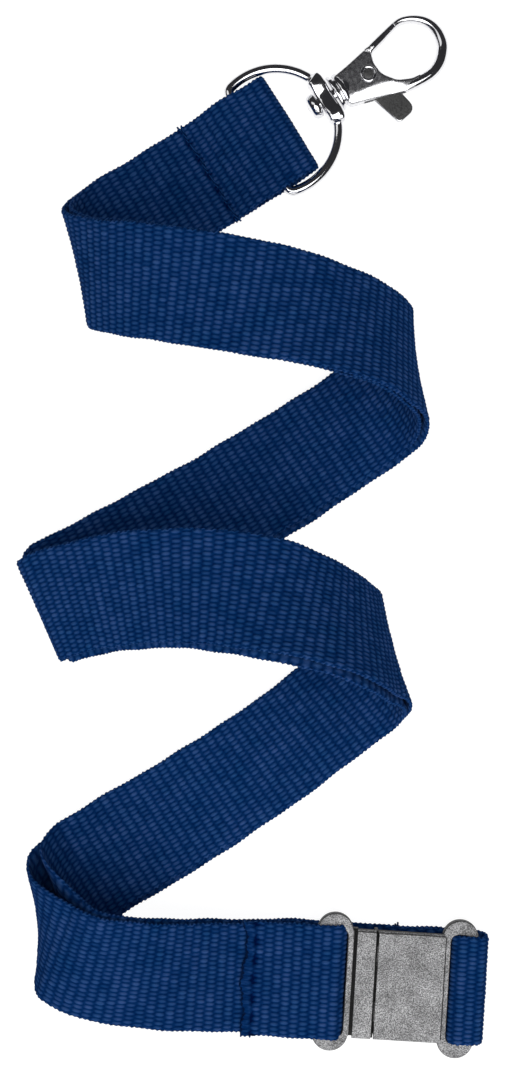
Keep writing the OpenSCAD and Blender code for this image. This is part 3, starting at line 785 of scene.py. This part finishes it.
def hook():
    collar = [(0.12, 0.5), (0.12, 2.5), (0.2, 2.7), (0.4, 2.78), (0.7, 2.72), (0.82, 2.5), (0.88, 2.3),
              (1.0, 2.25), (1.12, 2.3), (1.2, 2.5), (1.35, 2.6), (1.7, 2.62), (2.0, 2.55), (2.2, 2.35),
              (2.5, 2.15), (2.9, 2.0), (3.4, 1.85), (3.4, 0.5)]
    neck = revolve("neck", [(FACE_X + x, r) for x, r in collar], materials["chrome"], hook_point, oval=1.25)
    edge = [(17.6, 2.55, 0.3), (20.5, 2.95, 3), (24.9, 3.75, 0.5), (25.95, 2.75, 0.6), (25.3, 0.8, 3),
            (25.5, -1.65, 3), (27.4, -4.05, 3), (30.0, -5.17, 3), (31.6, -5.35, 0.4), (31.6, -7.05, 0.4),
            (28.2, -6.7, 3), (22.9, -5.0, 3), (18.0, -3.5, 0.5), (17.6, -2.9, 0.3)]

    def crown(x, y, z):
        """Rounds the faces, thins them towards the loop, and slopes the lower edge away."""
        slim = ease(min(1, max(0, (x - 25.0) / 5.5)))
        below = max(0.0, -1.7 - 0.2 * (x - 18.7) * (1 - slim) - 3.6 * slim - y)
        fall = 0.004 * (y + 4 * slim) ** 2 + 0.12 * below ** 1.4
        return z * (1 - 0.4 * slim) * (1 - fall)

    body = plate("body", rounded(edge, 0.4), [], 1.95, 0.42, materials["cast_chrome"], crown, grid=0.5)
    cut(body, (FACE_X + 4, -9, -0.72), (FACE_X + 12.2, 9, 0.72))
    put(body, hook_point)
    line = [(28.0, -5.5, 1.2), (29.6, -5.95, 1.12), (31.4, -6.2, 1.06), (33.2, -6.25, 1.04),
            (34.7, -5.9, 1.05), (36.15, -5.1, 1.08), (37.25, -3.95, 1.1), (38.05, -2.8, 1.1),
            (38.4, -1.5, 1.08), (38.5, -0.1, 1.03), (38.25, 1.3, 0.96), (37.5, 2.75, 0.88),
            (36.3, 3.85, 0.8), (35.0, 4.62, 0.74), (33.6, 5.05, 0.72), (32.27, 4.93, 0.66)]
    path = smooth_path(line, 170)
    size = [(w, 1.18) for w in path[:, 2]]
    loop = sweep("loop", path[:, :2], size, materials["chrome"], hook_point, sides=30)
    o = join("hook_body", body, neck, loop)
    keep("hook_body", o, "hook")


def smooth_path(points, count):
    """The points, and what else they carry, joined by a smooth line and spaced evenly."""
    pts = np.array(points, float)
    for _ in range(3):
        q = 0.75 * pts[:-1] + 0.25 * pts[1:]
        r = 0.25 * pts[:-1] + 0.75 * pts[1:]
        pts = np.concatenate([pts[:1], np.stack([q, r], 1).reshape(-1, pts.shape[1]), pts[-1:]])
    run = np.concatenate([[0], np.cumsum(np.linalg.norm(np.diff(pts[:, :2], axis=0), axis=1))])
    at = np.linspace(0, run[-1], count)
    return np.stack([np.interp(at, run, pts[:, k]) for k in range(pts.shape[1])], 1)


def lever():
    line = [(23.6, 1.6, 0.7, 0.6), (24.6, 2.65, 0.8, 0.6), (25.3, 3.15, 0.92, 0.62),
            (25.9, 3.4, 0.92, 0.95), (26.35, 3.52, 0.74, 1.0), (26.8, 3.65, 0.8, 1.12),
            (28.4, 4.02, 0.79, 1.12), (30.2, 4.45, 0.74, 1.08), (32.22, 4.92, 0.66, 1.0)]
    path = smooth_path(line, 80)
    size = [(w, h) for w, h in path[:, 2:]]
    gate = sweep("gate", path[:, :2], size, materials["chrome"], hook_point, power=2.1)
    edge = [(22.4, -1.6, 0.5), (21.9, -4.9, 0.6), (23.6, -10.9, 1.0), (27.7, -10.3, 1.8),
            (26.8, -5.6, 0.6), (25.0, -1.4, 0.6), (24.7, 2.2, 0.6), (23.4, 2.2, 0.6)]

    def bend(x, y, z):
        return z + 0.25 * ease(min(1, max(0, (-5.5 - y) / 4.5)))

    tab = plate("tab", rounded(edge, 0.5), [], 0.6, 0.28, materials["dull_chrome"], bend, grid=0.8)
    put(tab, hook_point)
    tab.data.materials.append(materials["chrome"])
    for face in tab.data.polygons:
        face.material_index = int(abs(face.normal.z) < 0.93)
    tab.name = "thumb_tab"
    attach(tab, "lever")
    keep("thumb_lever", gate, "lever")


def rivet():
    top = 1.92

    def at(x, y, z):
        return hook_point(PIVOT[0] + y, PIVOT[1] + z, x)

    rim = [(top - 0.5, 0.9), (top - 0.5, 1.62), (top - 0.02, 1.62), (top + 0.16, 1.52), (top + 0.26, 1.34),
           (top + 0.24, 1.16), (top + 0.1, 1.02), (top + 0.02, 0.96), (top - 0.1, 0.9)]
    profile = [(-x, r) for x, r in rim[::-1]] + rim
    profile = [(-top + 0.1, 0.3)] + profile + [(top - 0.1, 0.3)]
    ring_part = revolve("ring_part", profile, materials["chrome"], at, steps=40)
    disc = [(top - 0.12, 0.02), (top - 0.12, 0.93), (top, 0.92), (top + 0.07, 0.82), (top + 0.1, 0.5),
            (top + 0.1, 0.02)]
    o = revolve("rivet_disc", disc, materials["dull_chrome"], at, steps=32)
    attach(o, "hook")
    keep("lever_rivet", ring_part, "hook")


def buckle_part(o, where=buckle_point):
    """Puts a moulded part in its place, its side faces in painted shade, darker than its textured flats."""
    o.data.materials.append(materials["buckle_side_painted_shade"])
    for face in o.data.polygons:
        # faces that are not flat get the painted shade material
        face.material_index = int(abs(face.normal.z) < 0.8)
        face.use_smooth = face.area < 1
    return put(o, where)


def slot_frame(name, wall, side):
    """The slot and ears of one half, thinner below its middle; side is -1 for the tongue, wall is where
    the slot's wall starts and ends."""
    inner_y, back = 9.85, -EAR_X - 2.2
    ear = arc((-EAR_X, EAR_Y), EAR_R, 12, 200, 40)
    outline = [(wall[1], -EAR_Y), (wall[1], EAR_Y), *ear, (back, EAR_Y), (back, -EAR_Y)]
    outline += [(x, -y) for x, y in ear[::-1]]
    far = -12.6
    hole = rounded([(far, -inner_y), (wall[0], -inner_y, 1.9), (wall[0], inner_y, 1.9), (far, inner_y)], 0.4)
    o = plate(name, outline, [hole], FRAME_T / 2, 0.3, materials["buckle_plastic"])
    return buckle_part(o, lambda x, y, z: buckle_point(-side * x, y, z if z > 0 else 0.4 * z))


def buckle():
    plastic, groove = materials["buckle_plastic"], materials["buckle_groove_painted_shade"]
    wide, high = BUCKLE_W / 2, BUCKLE_T / 2

    def tiers(name, x0, x1):
        """A moulded block with a thin ledge round it and a narrower foot."""
        levels = (0.3, high - 1.0, high), (0, high - 1.1, high - 0.75), (0.6, -high, high - 1.05)
        return [block(name, (x0, inset - wide, low), (x1, wide - inset, top), 0.08, plastic)
                for inset, low, top in levels]

    y = wide - 0.1
    # link and lip are near-black slabs of painted shade in the gaps between the tiers
    parts = [put(block("link", (-8.4, -y, -1.2), (-7.2, y, 0.2), 0.1, groove), buckle_point),
             put(block("lip", (-4.2, -y, -1.8), (-3.58, y, 0.85), 0.1, groove), buckle_point)]
    parts += [buckle_part(tier) for tier in tiers("shoulder", -7.4, -4.0)]
    for s in (-1, 1):
        low, far = sorted((s * 3.2, s * 7))
        parts.append(buckle_part(block("arm", (-4.4, low, -0.75), (5.0, far, 0.75), 0.25, plastic)))
    o = join("buckle_tongue", slot_frame("frame", (-9.05, -7.9), -1), *parts)
    keep("buckle_tongue", o, "strap")
    body = tiers("body", -3.5, 8.6)
    for tier in body:
        cut(tier, (-5, -7.2, -0.95), (6.5, 7.2, 0.95))
    # step: a near-black slab of painted shade in the gap between the body and the frame
    step = block("step", (8.3, -wide + 0.9, -0.9), (9.0, wide - 0.9, 0.9), 0.1, groove)
    parts = [buckle_part(tier) for tier in body] + [put(step, buckle_point)]
    o = join("buckle_socket", slot_frame("frame", (-9.7, -8.72), 1), *parts)
    keep("buckle_socket", o, "socket")


def threads(node, stitches, ends, body):
    """Stitches as short sunk loops from a to b across the strap, and loose thread ends along their points."""
    made = []
    for k, (a, b, lift) in enumerate(stitches):
        u = np.linspace(0, 1, 9)[:, None]
        pts = a + (b - a) * u + lift * np.sin(math.pi * u)
        made.append(strand(f"stitch{k}", pts, STITCH_R))
    for k, pts in enumerate(ends):
        u = np.linspace(0, 1, 14)
        knots = np.array(pts, float)
        at = np.linspace(0, 1, len(knots))
        line = np.stack([np.interp(u, at, knots[:, q]) for q in range(3)], 1)
        line[1:-1] = (line[:-2] + 2 * line[1:-1] + line[2:]) / 4
        made.append(strand(f"end{k}", line, TUFT_R))
    o = join(node, *made)
    keep(node, o, body)


def strand(name, pts, r):
    """A thread along the points, thinner at both ends."""
    t = np.gradient(pts, axis=0)
    t = t / np.linalg.norm(t, axis=1, keepdims=True)
    a = np.cross(t, UP + 0.01)
    a = a / np.linalg.norm(a, axis=1, keepdims=True)
    b = np.cross(t, a)
    turns = np.linspace(0, 2 * math.pi, 8, endpoint=False)
    thick = 0.35 + 0.65 * np.sin(np.linspace(0.25, math.pi - 0.25, len(pts))) ** 0.4
    rings = [[p + r * q * (math.cos(turn) * x + math.sin(turn) * y) for turn in turns]
             for p, x, y, q in zip(pts, a, b, thick, strict=True)]
    return tube(name, np.array(rings) + MIDDLE, materials["thread"], caps=True)


def seam_stitches(station, sink):
    """Stitches across the strap at a station, sink out from its middle on its N side."""
    p, t, w = station
    n = np.cross(t, w)
    lines = []
    reach = STITCH * 0.43
    for k in range(-3, 3):
        middle = STITCH * (k + 0.5)
        tilt = 0.13 * (1 if k % 2 else -1)
        a = p + w * (middle - reach) + n * sink - t * tilt
        b = p + w * (middle + reach) + n * sink + t * tilt
        lines.append((a, b, n * 0.3))
    return lines


def tufts(p, t, w, sides, lift=0.3):
    """Short thread ends at the strap's two edges; sides are (edge, lean along the strap, length)."""
    n = np.cross(t, w)
    made = []
    for edge, lean, size in sides:
        root = p + edge * w * (WEB_W / 2 - 0.6) + n * lift + t * lean * 0.3
        tip = root + edge * w * (0.6 + size) + t * lean * size - n * 0.25
        made.append([root, (root + tip) / 2 + n * 0.1 + t * 0.08, tip])
    return made


def seams():
    station = end_station(LOOP_LEN + 0.6, FLOOR_INNER)
    ends = tufts(*station, [(-1, 0.5, 0.5), (-1, -0.6, 0.35), (1, 0.4, 0.45), (1, -0.5, 0.6), (1, 0.0, 0.3)])
    threads("ring_seam", seam_stitches(station, WEB_T / 2 - 0.2), ends, "strap")
    p, t, w = span_station(*tail(), 1, 0.83)
    ends = tufts(p, t, w, [(1, 0.1, 0.9), (1, 0.5, 0.5), (1, -0.4, 0.6), (1, -0.9, 0.4)], lift=-0.3)
    threads("tongue_seam", seam_stitches((p, -t, w), WEB_T / 2 - 0.22), ends, "strap")
    p, t, w = buckle_station(0, WEB_T * 1.5 + 0.1)
    ends = tufts(p, t, w, [(-1, 0.2, 0.7), (-1, -0.4, 0.4), (1, 0.3, 0.5), (1, -0.5, 0.4)])
    threads("socket_seam", seam_stitches((p, t, w), WEB_T / 2 - 0.1), ends, "socket")


ring()
stud()
hook()
lever()
rivet()
buckle()
seams()
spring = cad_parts["lever_spring"]
spring.data.materials.clear()
spring.data.materials.append(materials["spring_steel"])


# ---- Floor, light and camera ----
def studio():
    bpy.ops.mesh.primitive_plane_add(size=4, location=(0, 0, -0.0002))
    floor = bpy.context.active_object
    floor.name = "floor"
    floor.data.materials.append(materials["floor"])
    world = bpy.data.worlds.new("studio")
    bpy.context.scene.world = world
    world.use_nodes = True
    world.node_tree.nodes["Background"].inputs["Color"].default_value = (0.03, 0.03, 0.033, 1)
    overhead = area("overhead", (0.1, 0.25, 1.0), (0, 0, 0), 0.8, 0.8, 3.0)
    overhead.visible_glossy = False
    area("front_card", (0.02, -0.49, 0.655), (0.02, 0.0, 0), 0.9, 1.0, 7.8)
    area("left_card", (-0.46, 0.14, 0.66), (0.0, 0.06, 0), 0.34, 0.62, 0.6)


def area(name, at, to, wide, tall, power):
    light = bpy.data.lights.new(name, "AREA")
    light.shape, light.size, light.size_y, light.energy = "RECTANGLE", wide, tall, power
    o = bpy.data.objects.new(name, light)
    bpy.context.scene.collection.objects.link(o)
    o.location = at
    o.rotation_euler = (Vector(to) - Vector(at)).to_track_quat("-Z", "Y").to_euler()
    return o


def camera():
    data = bpy.data.cameras.new("camera")
    data.sensor_width, data.lens = 36, 57.6
    data.clip_start, data.clip_end = 0.01, 10
    o = bpy.data.objects.new("camera", data)
    bpy.context.scene.collection.objects.link(o)
    o.location = (MIDDLE[0] * MM, MIDDLE[1] * MM, 0.32)
    bpy.context.scene.camera = o
    bpy.context.scene.view_settings.view_transform = "Standard"


studio()
camera()
